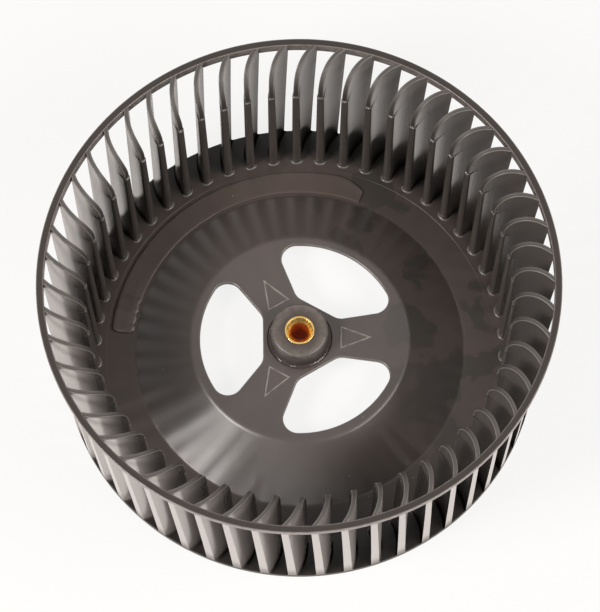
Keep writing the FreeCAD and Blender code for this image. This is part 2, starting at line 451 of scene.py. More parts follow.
def opening_outline(growth, turned_by):
    """Outline of one opening, grown by a distance, as points in the plane."""
    side = math.radians(OPENING_SIDE_ANGLE)
    inward = Vector((math.sin(side), -math.cos(side)))
    along = Vector((math.cos(side), math.sin(side)))
    corner = Vector((OPENING_FLAT_DISTANCE, OPENING_FLAT_HALF))
    near = Vector((OPENING_FLAT_DISTANCE + OPENING_CORNER, 0))
    near.y = corner.y + (OPENING_CORNER * inward.x - OPENING_CORNER) / along.x
    start = corner + inward * OPENING_CORNER
    reach = OPENING_ARC_RADIUS - OPENING_CORNER
    half = start.dot(along)
    far = start + along * (math.sqrt(half ** 2 - start.length_squared + reach ** 2) - half)
    flat = math.pi
    slant = math.pi / 2 + side
    outer = math.atan2(far.y, far.x)
    # Middle, radius, first and last angle, steps, and the first step that the arc before hasn't made
    arcs = (
        (near, OPENING_CORNER, flat, slant, 7, 0),
        (far, OPENING_CORNER, slant, outer, 14, 0),
        (Vector((0, 0)), OPENING_ARC_RADIUS, outer, -outer, 30, 1),
        (Vector((far.x, -far.y)), OPENING_CORNER, -outer, -slant, 14, 1),
        (Vector((near.x, -near.y)), OPENING_CORNER, -slant, -flat, 7, 0),
    )
    turn = Matrix.Rotation(math.radians(turned_by), 2)
    points = []
    for middle, radius, first, last, steps, first_step in arcs:
        for step in range(first_step, steps + 1):
            angle = between(first, last, step / steps)
            direction = Vector((math.cos(angle), math.sin(angle)))
            points.append(turn @ (middle + direction * (radius + growth)))
    return points


def opening_levels():
    """Growth and height of an opening's outline, from the top face over both edges to the underside."""
    under = MIDDLE_HEIGHT - WALL
    edge = OPENING_TOP_EDGE
    levels = [(edge * run, MIDDLE_HEIGHT - edge * drop) for drop, run in quarter_turn(6)]
    edge = OPENING_UNDER_EDGE
    return levels + [(edge * run, under + edge * rise) for run, rise in quarter_turn(3)]


def boss_painted_light(radius, height):
    """The rounded rim of the boss is painted pale as a highlight, and the groove round it is painted with
    shade.
    """
    if height > BOSS_TOP - BOSS_EDGE and radius > BOSS_TOP_RADIUS - BOSS_EDGE:
        return BOSS_RIM_PAINTED_HIGHLIGHT
    if height < MIDDLE_HEIGHT - MOAT_EDGE / 2 and radius > BOSS_BASE_RADIUS:
        return MOAT_PAINTED_SHADE
    return 0.0


def disc_piece(material):
    """The disc with its step, cone and raised middle, the three openings and the hub."""
    shell = Shell()
    flat = MIDDLE_FLAT_RADIUS
    outer_top, outer_under = shell.turned(rounded_line([
        (flat, MIDDLE_HEIGHT, 0),
        (MIDDLE_RADIUS, MIDDLE_HEIGHT, MIDDLE_ROUNDING),
        (CREASE_RADIUS, WALL, CREASE_ROUNDING),
        (STEP_RADIUS, WALL, STEP_EDGE),
        (STEP_RADIUS, DISC_TOP, STEP_EDGE),
        (DISC_RADIUS, DISC_TOP, DISC_EDGE),
        (DISC_RADIUS, 0, DISC_EDGE),
        (CREASE_RADIUS - UNDERSIDE_SHIFT, 0, CREASE_ROUNDING + WALL),
        (MIDDLE_RADIUS - UNDERSIDE_SHIFT, MIDDLE_HEIGHT - WALL, MIDDLE_ROUNDING - WALL),
        (flat, MIDDLE_HEIGHT - WALL, 0),
    ], arc_step=5.0))
    inner_under, inner_top = shell.turned(rounded_line([
        (SLEEVE_RADIUS + FLAT_PAST_SLEEVE, MIDDLE_HEIGHT - WALL, 0),
        (SLEEVE_RADIUS, MIDDLE_HEIGHT - WALL, SLEEVE_ROUNDING),
        (SLEEVE_RADIUS, HUB_FOOT, SLEEVE_FOOT_EDGE),
        (BUSH_RADIUS, HUB_FOOT, 0),
        (BUSH_RADIUS, BOSS_TOP, 0),
        (BOSS_TOP_RADIUS, BOSS_TOP, BOSS_EDGE),
        (BOSS_BASE_RADIUS, MOAT_FLOOR, MOAT_EDGE),
        (MOAT_RADIUS, MOAT_FLOOR, MOAT_EDGE),
        (MOAT_RADIUS, MIDDLE_HEIGHT, MOAT_EDGE),
        (MOAT_RADIUS + FLAT_PAST_MOAT, MIDDLE_HEIGHT, 0),
    ], arc_step=9.0), wear=boss_painted_light)
    tops = [outer_top, inner_top]
    unders = [outer_under, inner_under]
    for place in range(OPENING_COUNT):
        angle = OPENING_FIRST_ANGLE + 360.0 * place / OPENING_COUNT
        loops = []
        for growth, height in opening_levels():
            on_edge = MIDDLE_HEIGHT - OPENING_TOP_EDGE < height < MIDDLE_HEIGHT
            outline = [point.to_3d() + Vector((0, 0, height)) for point in opening_outline(growth, angle)]
            # The top edges of the openings are painted pale as highlights.
            loops.append(shell.loop(outline, OPENING_EDGE_PAINTED_HIGHLIGHT if on_edge else 0.0))
        for upper, lower in zip(loops, loops[1:]):
            shell.bridge(upper, lower)
        tops.append(loops[0])
        unders.append(loops[-1])
    shell.plate(tops, True)
    shell.plate(unders, False)
    return with_steady_shading(shell.piece("fan_disc", material))


def ring_painted_light(radius, height):
    """The ring's edges are painted pale as highlights, and its slightly hollow top is painted with shade."""
    in_hollow = RING_INNER_RADIUS + RING_EDGE < radius < RING_RADIUS - RING_EDGE
    if in_hollow and height > WHEEL_HEIGHT - RING_EDGE:
        return RING_HOLLOW_PAINTED_SHADE
    from_edge = min(radius - RING_INNER_RADIUS, RING_RADIUS - radius)
    return RING_EDGE_PAINTED_HIGHLIGHT if from_edge < RING_HIGHLIGHT_WIDTH else 0.0


def ring_piece(material):
    """The ring round the tops of the blades, its top face a shallow hollow."""
    shell = Shell()
    profile = rounded_line([
        (RING_INNER_RADIUS, WHEEL_HEIGHT, RING_EDGE),
        (RING_INNER_RADIUS, WHEEL_HEIGHT - RING_INNER_SIDE, RING_EDGE),
        (RING_RADIUS, WHEEL_HEIGHT - RING_OUTER_SIDE, RING_EDGE),
        (RING_RADIUS, WHEEL_HEIGHT, RING_EDGE),
    ], arc_step=15.0)
    inner, outer = profile[0], profile[-1]
    for step in range(1, RING_HOLLOW_STEPS):
        share = step / RING_HOLLOW_STEPS
        depth = RING_HOLLOW * (1 - (2 * share - 1) ** 2)
        profile.append(outer.lerp(inner, share) - Vector((0, depth)))
    shell.turned(profile, closed=True, wear=ring_painted_light)
    return with_steady_shading(shell.piece("fan_ring", material))


def rib_shape(material):
    """One rib under the raised middle, its free edges rounded."""
    half = RIB_THICKNESS / 2
    low = MIDDLE_HEIGHT - WALL - RIB_DEPTH
    high = MIDDLE_HEIGHT - WALL / 2
    section = rounded_line([
        (-half, high, 0), (-half, low, RIB_EDGE), (half, low, RIB_EDGE), (half, high, 0),
    ], arc_step=22.5)
    shell = Shell()
    shell.tube([
        shell.loop([Vector((reach, across, height)) for across, height in section])
        for reach in (SLEEVE_RADIUS - RIB_IN_SLEEVE, MIDDLE_RADIUS)
    ])
    return shell.piece("rib", material)


def bush_piece(material):
    """The brass bush in the hub, its bore flared at the top."""
    shell = Shell()
    shell.turned(rounded_line([
        (BORE_RADIUS, HUB_FOOT, BUSH_EDGE),
        (BUSH_RADIUS, HUB_FOOT, BUSH_EDGE),
        (BUSH_RADIUS, BOSS_TOP, BUSH_EDGE),
        (BORE_RADIUS + BORE_FLARE, BOSS_TOP, BUSH_EDGE),
        (BORE_RADIUS, BOSS_TOP - BORE_FLARE, BUSH_EDGE),
    ], arc_step=15.0), closed=True)
    return with_steady_shading(shell.piece("shaft_bush", material))


# Blades

def blade_arc():
    """Middle point and radius of the arc that a blade follows, seen from above."""
    entry = math.radians(BLADE_ENTRY_ANGLE)
    leave = math.radians(BLADE_EXIT_ANGLE)
    growth = RING_INNER_RADIUS ** 2 - BLADE_ARC_NOSE ** 2
    lean = RING_INNER_RADIUS * math.sin(leave) - BLADE_ARC_NOSE * math.sin(entry)
    curve = growth / (2 * lean)
    return Vector((BLADE_ARC_NOSE - curve * math.sin(entry), -curve * math.cos(entry))), curve


ARC_MIDDLE, ARC_RADIUS = blade_arc()


def blade_turn(radius, offset=0.0):
    """Angle on the blade's arc at which a line beside it reaches this distance from the shaft."""
    reach = ARC_MIDDLE.length
    curve = ARC_RADIUS + offset
    share = (radius ** 2 - reach ** 2 - curve ** 2) / (2 * reach * curve)
    return math.atan2(ARC_MIDDLE.y, ARC_MIDDLE.x) + math.acos(max(-1.0, min(1.0, share)))


def blade_point(turn, offset, height):
    reach = ARC_RADIUS + offset
    return Vector((ARC_MIDDLE.x + reach * math.cos(turn), ARC_MIDDLE.y + reach * math.sin(turn), height))


def foot_growth(height):
    """How far the fillet at the disc stands out from the blade at this height."""
    left = 1 - share_of(height, DISC_TOP, DISC_TOP + FOOT_FILLET)
    return FOOT_FILLET * (1 - math.sqrt(1 - left ** 2))


def nose_swell(height):
    """How far the nose stands out sideways: more below its ledge than above it."""
    if height <= NOSE_LEDGE_HEIGHT:
        return between(SWELL_FOOT, SWELL_UNDER_LEDGE, height / NOSE_LEDGE_HEIGHT)
    return between(SWELL_OVER_LEDGE, 0.0, (height - NOSE_LEDGE_HEIGHT) / (BLADE_TOP - NOSE_LEDGE_HEIGHT))


def half_width(along, height, swell):
    """Half the blade's width, from its nose (0) to its tail (1). The swell fades away behind the nose."""
    nose = between(NOSE_WIDTH_FOOT, NOSE_WIDTH_TOP, height / BLADE_TOP)
    tail = between(TAIL_WIDTH_FOOT, TAIL_WIDTH_TOP, height / BLADE_TOP)
    fade = max(0.0, 1 - along / SWELL_REACH) ** 2
    return between(nose, tail, along) / 2 + swell * fade + foot_growth(height)


def tail_radius(height):
    return between(TAIL_FOOT_RADIUS, BLADE_IN_RING, (height - DISC_TOP) / (BLADE_TOP - DISC_TOP))


# A stretch of a blade's free edge: its rounding, from the inlet's edge (0) to the whole nose (1), the
# depth of the hollow along it, and the painted light of its corners and of its front: above 0 a painted
# highlight, below 0 painted shade
Stretch = namedtuple("Stretch", "rounding hollow corner_wear front_wear")
# Painted highlights on the nose's foot, the ledge and the inlet's corners; painted shade along the inlet's
# front
NOSE = Stretch(1.0, 0.0, 0.0, 0.0)
NOSE_FOOT = Stretch(1.0, 0.0, 0.5, 0.5)
LEDGE = Stretch(0.5, INLET_HOLLOW, 0.3, 0.2)
INLET = Stretch(0.0, INLET_HOLLOW, 0.75, -1.0)


def inlet_path():
    """Steps along the blade's free edge: radius, height, inward direction, tail height and stretch."""
    fillet = [DISC_TOP + FOOT_FILLET * rise for rise, run in quarter_turn(6)]
    column = [between(fillet[-1], NOSE_LEDGE_HEIGHT, step / NOSE_STEPS) for step in range(1, NOSE_STEPS + 1)]
    steps = []
    for height in [BLADE_FOOT] + fillet + column:
        share = (height - DISC_TOP) / (NOSE_LEDGE_HEIGHT - DISC_TOP)
        radius = between(NOSE_FOOT_RADIUS, NOSE_LEDGE_RADIUS, share) - foot_growth(height)
        # Just above the disc, the nose's foot fillet is painted with a highlight.
        in_foot_highlight = DISC_TOP < height < DISC_TOP + FOOT_HIGHLIGHT_HEIGHT
        steps.append((radius, height, (1, 0), height, NOSE_FOOT if in_foot_highlight else NOSE))
    ledge = NOSE_LEDGE_HEIGHT + LEDGE_RISE
    steps.append((INLET_EDGE_RADIUS - LEDGE_SETBACK, ledge, (0.7, -0.7), ledge, LEDGE))
    inlet = NOSE_LEDGE_HEIGHT + INLET_START_RISE
    steps.append((INLET_EDGE_RADIUS, inlet, (1, 0), inlet, INLET))
    round_length = SHOULDER_RADIUS * math.pi / 2
    flat_length = BLADE_IN_RING - INLET_EDGE_RADIUS - SHOULDER_RADIUS
    for step in range(SHOULDER_STEPS + 1):
        turn = math.pi / 2 * step / SHOULDER_STEPS
        radius = INLET_EDGE_RADIUS + SHOULDER_RADIUS * (1 - math.cos(turn))
        height = between(SHOULDER_HEIGHT, BLADE_TOP, math.sin(turn))
        share = SHOULDER_RADIUS * turn / (round_length + flat_length)
        tail_height = between(SHOULDER_HEIGHT, BLADE_TOP - INLET_EDGE, share)
        steps.append((radius, height, (math.cos(turn), -math.sin(turn)), tail_height, INLET))
    steps.append((BLADE_IN_RING, BLADE_TOP, (0, -1), BLADE_TOP - INLET_EDGE, INLET))
    return steps


def blade_row(radius, height, inward, tail_height, stretch):
    """Points round the blade from one step of its free edge back to its tail, and their painted light and
    shade.
    """
    chord_share = share_of(radius, INLET_EDGE_RADIUS, BLADE_IN_RING)
    swell = nose_swell(height)
    half = half_width(chord_share, height, swell)
    edge = between(INLET_EDGE, half * NOSE_EDGE_SHARE, stretch.rounding)
    tail_half = half_width(1, tail_height, 0)
    start_turn = blade_turn(radius + edge * inward[0])
    start_height = height + edge * inward[1]

    def near_edge(depth, offset):
        return blade_point(blade_turn(radius + depth * inward[0]), offset, height + depth * inward[1])

    corner = quarter_turn(CORNER_STEPS)
    sides = []
    for sign in (-1, 1):
        side = [near_edge(edge * back, sign * (half - edge * in_by)) for back, in_by in corner]
        end_turn = blade_turn(tail_radius(tail_height), sign * tail_half)
        for step in range(1, SIDE_STEPS + 1):
            share = (step / SIDE_STEPS) ** SIDE_CROWDING
            level = between(start_height, tail_height, share)
            width = half_width(between(chord_share, 1, share), level, swell)
            side.append(blade_point(between(start_turn, end_turn, share), sign * width, level))
        sides.append(side)
    front = [near_edge(stretch.hollow * (1 - share ** 2), (half - edge) * share) for share in (-0.5, 0, 0.5)]
    tail = []
    for step in range(1, TAIL_STEPS):
        flat = sides[1][-1].lerp(sides[0][-1], step / TAIL_STEPS)
        scale = tail_radius(tail_height) / math.hypot(flat.x, flat.y)
        tail.append(Vector((flat.x * scale, flat.y * scale, tail_height)))
    corner_wear = [stretch.front_wear] + [stretch.corner_wear] * (CORNER_STEPS - 1)
    side_wear = corner_wear + [0.0] * (SIDE_STEPS + 1)
    wear = side_wear[::-1] + [stretch.front_wear] * len(front) + side_wear + [0.0] * len(tail)
    return sides[0][::-1] + front + sides[1] + tail, wear


def blade_shape(material):
    """One blade: a rounded nose with a ledge, a round shoulder, and a tail cut along the drum."""
    shell = Shell()
    shell.tube([shell.loop(*blade_row(*step)) for step in inlet_path()])
    blade = shell.piece("blade", material)
    weld = blade.modifiers.new("weld", "WELD")
    weld.merge_threshold = WELD_DISTANCE * MILLIMETRE
    with_steady_shading(blade)
    mark_outside_faces(blade.data)
    return blade


def mark_outside_faces(mesh):
    """Marks the faces of a blade that lie on the outside of the drum or are turned outwards."""
    marks = mesh.attributes.new(OUTSIDE_FACES, "BOOLEAN", "FACE")
    for face in mesh.polygons:
        corners = [mesh.vertices[index].co / MILLIMETRE for index in face.vertices]
        tail = all(corner.xy.length > tail_radius(corner.z) - TAIL_MARGIN for corner in corners)
        outwards = Vector((face.center.x, face.center.y, 0)).normalized()
        far_out = face.center.dot(outwards) > OUTSIDE_RADIUS * MILLIMETRE
        turned_out = face.normal.dot(outwards) > OUTSIDE_TURN
        marks.data[face.index].value = tail or (far_out and turned_out)


# Balancing strip, triangles and flash

def strip_edges(angle):
    """Inner and outer radius of the strip at an angle, uneven towards its rough end."""
    taper = share_of(angle, STRIP_TAPER_START, STRIP_TAPER_END)
    inner = STRIP_INNER_RADIUS
    outer = between(STRIP_OUTER_RADIUS, STRIP_TIP_RADIUS, taper ** STRIP_TAPER_CURVE)
    left = math.radians(STRIP_END - angle) * STRIP_OUTER_RADIUS
    rounded = share_of(left, STRIP_END_ROUNDING, 0)
    drop = STRIP_END_ROUNDING * (1 - math.sqrt(1 - rounded ** 2))
    if angle > STRIP_ROUGH_START:
        inner += 0.25 * math.sin(angle * 1.7) + 0.12 * math.sin(angle * 4.3 + 1) + 0.25
        outer += 0.1 * math.sin(angle * 2.1 + 2) - 0.12
    return inner + drop, outer - drop


def strip_thickness(angle):
    """The strip is a little uneven, and thicker at its rough end."""
    rise = share_of(angle, STRIP_ROUGH_START, STRIP_ROUGH_START + STRIP_ROUGH_RISE)
    thickness = STRIP_THICKNESS + 0.05 * math.sin(angle * 0.35)
    return thickness + rise * (0.28 + 0.05 * math.sin(angle * 1.1))


def strip_row(angle):
    """Points across the strip, from its inner foot over its sagging top to its outer foot."""
    inner, outer = strip_edges(angle)
    top = STRIP_UNDERSIDE + strip_thickness(angle)
    rounding = [(STRIP_EDGE * run, STRIP_EDGE * drop) for run, drop in quarter_turn(3)]
    row = [(inner, STRIP_UNDERSIDE)]
    row += [(inner + run, top - drop) for run, drop in rounding]
    for place in range(1, STRIP_FLAT_STEPS):
        share = place / STRIP_FLAT_STEPS
        radius = between(inner + STRIP_EDGE, outer - STRIP_EDGE, share)
        row.append((radius, top - STRIP_SAG * math.sin(math.pi * share)))
    row += [(outer - run, top - drop) for run, drop in reversed(rounding)]
    row.append((outer, STRIP_UNDERSIDE))
    return [polar(radius, angle, height) for radius, height in row]


def strip_painted_light(angle):
    """Painted light of the points across the strip: from a set angle its inner edge is painted lighter, and
    near the rough end with patchy painted highlights.
    """
    inner_edge_light = STRIP_INNER_EDGE_LIGHT * share_of(angle, STRIP_LIGHT_EDGE_START, STRIP_ROUGH_START)
    edge = inner_edge_light
    if angle >= STRIP_ROUGH_START:
        edge = 0.6 + 0.3 * math.sin(angle * 1.9) + 0.2 * math.sin(angle * 3.1 + 1)
    near_edge = [0.0, 0.0, edge, edge, edge, edge * 0.35, inner_edge_light * 0.7, inner_edge_light * 0.3]
    return near_edge + [0.0] * (STRIP_FLAT_STEPS + 1)


def strip_piece(material):
    """The balancing strip, with one tapered and one rough end."""
    shell = Shell()
    rows = []
    for step in range(STRIP_STEPS + 1):
        angle = between(STRIP_TAPER_END, STRIP_END, step / STRIP_STEPS)
        wear = strip_painted_light(angle)
        # The strip's end rows are painted pale, at least as much as a painted highlight.
        if step >= STRIP_STEPS - 1:
            wear = [max(mark, STRIP_END_PAINTED_HIGHLIGHT) for mark in wear]
        rows.append(shell.loop(strip_row(angle), wear))
    shell.tube(rows[::-1])
    return shell.piece("balance_strip_band", material)


def triangle_shape(material):
    """One plain raised triangle, a low line with sloping sides, its point away from the hub."""
    corners = [
        Vector((TRIANGLE_BASE, -TRIANGLE_HALF_WIDTH, 0)),
        Vector((TRIANGLE_APEX, 0, 0)),
        Vector((TRIANGLE_BASE, TRIANGLE_HALF_WIDTH, 0)),
    ]
    side = (corners[1] - corners[0]).length
    base_length = 2 * TRIANGLE_HALF_WIDTH
    inner_radius = base_length * (TRIANGLE_APEX - TRIANGLE_BASE) / (2 * side + base_length)
    incentre = Vector((TRIANGLE_BASE + inner_radius, 0, 0))
    low = MIDDLE_HEIGHT - TRIANGLE_SINK
    top = MIDDLE_HEIGHT + TRIANGLE_HEIGHT
    shell = Shell()
    loops = []
    for inset, height in (
        (0, low), (TRIANGLE_SLOPE, top), (TRIANGLE_LINE - TRIANGLE_SLOPE, top), (TRIANGLE_LINE, low),
    ):
        outline = [corner.lerp(incentre, inset / inner_radius) for corner in corners]
        # The triangles' lines are painted pale all over.
        loops.append(shell.loop([point + Vector((0, 0, height)) for point in outline], wear=1.0))
    for outer, inner in zip(loops, loops[1:] + loops[:1]):
        shell.bridge(inner, outer)
    return shell.piece("triangle", material)


def flash_bead(shell, first, last, radius, thickness):
    """One squeezed-out bead, thin at both ends and a little uneven."""
    steps = max(6, int((last - first) / FLASH_STEP))
    rows = []
    for step in range(steps + 1):
        share = step / steps
        angle = between(first, last, share)
        swell = thickness * math.sqrt(max(0.02, math.sin(math.pi * share)))
        swell *= 1 + 0.25 * math.sin(angle * 0.9) + 0.15 * math.sin(angle * 2.1)
        middle = radius + 0.16 * math.sin(angle * 0.55) + 0.08 * math.sin(angle * 1.7)
        row = []
        for side in range(FLASH_SIDES):
            turn = math.tau * side / FLASH_SIDES
            height = MOAT_FLOOR + FLASH_LIFT + swell * math.sin(turn)
            row.append(polar(middle + swell * math.cos(turn), angle, height))
        # The beads are painted pale all over.
        rows.append(shell.loop(row, wear=1.0))
    shell.tube(rows)


def flash_piece(material):
    """The thin beads in the groove round the boss."""
    shell = Shell()
    for bead in FLASH_BEADS:
        flash_bead(shell, *bead)
    return shell.piece("hub_flash", material)


# Materials

PLASTIC_DARK = (0.062, 0.048, 0.042)
PLASTIC_LIGHT = (0.092, 0.072, 0.064)
BLADE_DARK = (0.058, 0.05, 0.045)
BLADE_LIGHT = (0.088, 0.077, 0.069)
STRIP_DARK = (0.084, 0.064, 0.057)
STRIP_LIGHT = (0.112, 0.088, 0.079)
# Painted shade, for hollows, the disc between the blades and the blades' feet
PAINTED_SHADE = (0.016, 0.013, 0.011)
# Pale colour painted on the blades as light
PAINTED_LIGHT = (0.2, 0.185, 0.175)
# Pale colour of worn edges and of painted highlights
PALE_WEAR_AND_HIGHLIGHT = (0.34, 0.31, 0.285)
SPECK = (0.32, 0.3, 0.28)
STAIN = (0.03, 0.031, 0.026)
BRASS_DARK = (0.86, 0.52, 0.13)
BRASS_LIGHT = (0.98, 0.7, 0.28)
# Painted reflection colour inside the bore
BORE_PAINTED_REFLECTION = (0.62, 0.12, 0.015)
FLOOR_COLOUR = (0.93, 0.925, 0.92)
FLOOR_IN_GLOSS = (1.0, 0.93, 0.88)
FLOOR_IN_VIEW = (1.0, 0.995, 0.99)

# Heights at which the blades' painted shade has faded and at which their two finishes are clean
PAINTED_SHADE_TOP = 30.0
SIDE_CLEAN_HEIGHT = 42.0
TAIL_CLEAN_HEIGHT = 14.0

# How much rougher the blades are than their outer tails, and how rough those tails' gloss is
BLADE_DULL = 0.13
BLADE_COAT_ROUGHNESS = 0.09


class Finish(NodeMaker):
    """A material under construction."""

    def __init__(self, name):
        self.material = bpy.data.materials.new(name)
        self.material.use_nodes = True
        super().__init__(self.material.node_tree)
        self.shader = self.nodes["Principled BSDF"]
        self.place = self.nodes.new("ShaderNodeTexCoord").outputs["Object"]

    def give(self, title, value):
        """Sets one of the shader's own inputs."""
        self.fill(self.shader.inputs[title], value)

    def noise(self, place, scale, detail=2.0, roughness=0.6):
        inputs = {"Vector": place, "Scale": scale, "Detail": detail, "Roughness": roughness}
        return self.node("ShaderNodeTexNoise", inputs, "Fac")

    def spread(self, value, low, high, to_low, to_high):
        """Stretches a value from one range to another, without leaving it."""
        inputs = dict(enumerate((value, low, high, to_low, to_high)))
        return self.node("ShaderNodeMapRange", inputs, "Result")

    def fade(self, length, start, end, to_start, to_end):
        """The same for a length, with the ends of its range in millimetres."""
        return self.spread(length, start * MILLIMETRE, end * MILLIMETRE, to_start, to_end)

    def blend(self, share, first, second):
        """A colour between two. Sockets 6 and 7 are the mix node's colours, and output 2 its result."""
        return self.node("ShaderNodeMix", {"Factor": share, 6: first, 7: second}, 2, data_type="RGBA")

    def axes(self):
        node = self.nodes.new("ShaderNodeSeparateXYZ")
        self.fill(node.inputs[0], self.place)
        return node.outputs

    def together(self, x, y, z):
        return self.node("ShaderNodeCombineXYZ", {"X": x, "Y": y, "Z": z})

    def bump(self, height, strength, distance, under=None):
        inputs = {"Height": height, "Strength": strength, "Distance": distance}
        if under is not None:
            inputs["Normal"] = under
        return self.node("ShaderNodeBump", inputs, "Normal")

    def attribute(self, name):
        return self.node("ShaderNodeAttribute", {}, "Fac", attribute_name=name)

    def specked(self, colour):
        """The colour with a few pale specks of dust."""
        from_speck = self.node("ShaderNodeTexVoronoi", {"Vector": self.place, "Scale": 130.0}, "Distance")
        near = self.spread(from_speck, 0.035, 0.055, 1.0, 0.0)
        rare = self.math("GREATER_THAN", self.noise(self.place, 41.0, 1.0, 0.5), 0.62)
        return self.blend(self.product(near, rare, 0.5), colour, SPECK)

    def with_wear_and_painted_light(self, colour):
        """The colour with pale edges and dark hollows, as the mesh marks them: wear, painted highlights and
        painted shade.
        """
        wear = self.attribute(WEAR_AND_PAINTED_LIGHT)
        patchy = self.spread(self.noise(self.place, 300.0), 0.35, 0.6, 0.5, 1.0)
        pale = self.product(self.spread(wear, 0.0, 1.0, 0.0, 0.85), patchy)
        colour = self.blend(pale, colour, PALE_WEAR_AND_HIGHLIGHT)
        return self.blend(self.spread(wear, -1.0, 0.0, 0.85, 0.0), colour, PAINTED_SHADE)

    def radius(self):
        x, y = self.axes()[:2]
        return self.math("SQRT", self.math("ADD", self.product(x, x), self.product(y, y)))

    def turned_outwards(self, radius):
        """How much the surface looks away from the shaft, as the cosine of the angle."""
        normal = self.node("ShaderNodeNewGeometry", {}, "Normal")
        inputs = {0: normal, 1: self.place}
        outwards = self.node("ShaderNodeVectorMath", inputs, "Value", operation="DOT_PRODUCT")
        return self.math("DIVIDE", outwards, radius)

    def streak_place(self, fineness, length):
        """Coordinates that change fast round the shaft and slowly along a radius."""
        x, y = self.axes()[:2]
        radius = self.radius()
        return self.together(
            self.product(self.math("DIVIDE", x, radius), fineness),
            self.product(self.math("DIVIDE", y, radius), fineness),
            self.product(radius, length),
        )


def moulded_plastic(name, dark, light, rough_low, rough_high, streaks=0.0, relief=0.0):
    """Satin dark plastic with flow streaks away from the hub, a little dust, and pale edges and dark hollows
    of wear, painted highlights and painted shade.
    """
    finish = Finish(name)
    clouds = finish.noise(finish.place, 28.0, 4.0)
    flow = finish.noise(finish.streak_place(5.0, 12.0), 1.0, 3.0)
    fine_flow = finish.noise(finish.streak_place(16.0, 8.0), 1.0)
    waves = finish.noise(finish.place, 130.0, 2.0, 0.5)
    mixed = finish.math("ADD", finish.product(clouds, 0.65), finish.product(flow, 0.35))
    mixed = finish.math("ADD", mixed, finish.product(finish.attribute(TONE), 0.14))
    colour = finish.blend(finish.spread(mixed, 0.3, 0.75, 0.0, 1.0), dark, light)
    finish.colour = finish.with_wear_and_painted_light(finish.specked(colour))
    finish.give("Base Color", finish.colour)
    gloss = finish.math("ADD", finish.product(fine_flow, streaks), finish.product(waves, 0.5))
    finish.roughness = finish.spread(gloss, 0.3, 0.9, rough_low, rough_high)
    finish.give("Roughness", finish.roughness)
    finish.give("IOR", 1.42)
    if relief:
        grain = finish.noise(finish.place, 2600.0)
        uneven = finish.bump(fine_flow, 0.06 * relief, 0.0004)
        uneven = finish.bump(waves, 0.12 * relief, 0.0004, uneven)
        finish.give("Normal", finish.bump(grain, 0.04 * relief, 0.00008, uneven))
    return finish


def satin_plastic():
    """The plastic of the ring, the ribs and the small marks, with a thin even gloss."""
    finish = moulded_plastic("moulded plastic", PLASTIC_DARK, PLASTIC_LIGHT, 0.15, 0.3, 0.4, 0.7)
    finish.give("Coat Weight", 0.4)
    finish.give("Coat Roughness", 0.25)
    return finish.material


def strip_plastic():
    """The strip's own plastic, a little lighter and more uneven than the disc."""
    return moulded_plastic("strip plastic", STRIP_DARK, STRIP_LIGHT, 0.2, 0.34, 0.2, 1.0).material


def disc_plastic():
    """The disc's plastic: glossy inside the crease, with painted shade between the blades, stained on the
    right.
    """
    finish = moulded_plastic("disc plastic", PLASTIC_DARK, PLASTIC_LIGHT, 0.28, 0.38, 0.4, 0.7)
    radius = finish.radius()
    in_crease = finish.fade(radius, 71.5, 73.5, 1.0, 0.0)
    past_boss = finish.fade(radius, 14.2, 14.5, 0.0, 1.0)
    finish.give("Coat Weight", finish.product(in_crease, past_boss))
    finish.give("Coat IOR", 1.55)
    finish.give("Coat Roughness", 0.28)
    # Painted shade on the disc between the blades' feet
    colour = finish.blend(finish.fade(radius, 88.0, 95.0, 0.0, 0.8), finish.colour, PAINTED_SHADE)
    x, y = finish.axes()[:2]
    rightwards = finish.math("ADD", finish.product(x, 0.9), finish.product(y, 0.45))
    stained = finish.fade(rightwards, 15.0, 50.0, 0.0, 0.6)
    patches = finish.spread(finish.noise(finish.place, 42.0, 3.0, 0.5), 0.54, 0.57, 0.0, 1.0)
    finish.give("Base Color", finish.blend(finish.product(stained, patches), colour, STAIN))
    return finish.material


def blade_plastic(name, clean_height):
    """The blades' plastic, with painted shade and less gloss at the foot behind the nose, with how clean it
    is and how much painted light it gets.
    """
    finish = moulded_plastic(name, BLADE_DARK, BLADE_LIGHT, 0.1, 0.16)
    height = finish.axes()["Z"]
    behind = finish.fade(finish.radius(), 89.0, 94.0, 0.0, 1.0)
    clean = finish.fade(height, 6.0, clean_height, 0.0, 1.0)
    clean = finish.math("MAXIMUM", clean, finish.math("SUBTRACT", 1.0, behind))
    finish.give("Specular IOR Level", finish.math("MULTIPLY_ADD", clean, 0.45, 0.05))
    finish.give("Coat IOR", 1.5)
    # Painted shade low on the blades behind the nose
    foot_shade = finish.product(finish.fade(height, 4.0, PAINTED_SHADE_TOP, 0.85, 0.0), behind)
    finish.colour = finish.blend(foot_shade, finish.colour, PAINTED_SHADE)
    # Painted light on the upper blades behind the nose
    return finish, clean, finish.product(behind, clean, 0.4)


def finish_blade(finish, painted_light, coat, dull):
    """Adds the painted light, and the gloss, which is kept off the edges marked with wear and painted light.
    """
    wear = finish.math("ABSOLUTE", finish.attribute(WEAR_AND_PAINTED_LIGHT))
    finish.give("Base Color", finish.blend(painted_light, finish.colour, PAINTED_LIGHT))
    finish.give("Coat Weight", finish.product(coat, finish.math("SUBTRACT", 1.0, wear)))
    roughness = finish.math("ADD", finish.roughness, dull)
    finish.give("Roughness", finish.math("MAXIMUM", roughness, finish.product(wear, 0.5)))
    return finish.material


def blade_side_plastic():
    """The finish of the blades' inner sides."""
    finish, clean, painted_light = blade_plastic("blade plastic", SIDE_CLEAN_HEIGHT)
    finish.give("Coat Roughness", BLADE_DULL + BLADE_COAT_ROUGHNESS)
    return finish_blade(finish, painted_light, finish.product(clean, 0.5), BLADE_DULL)


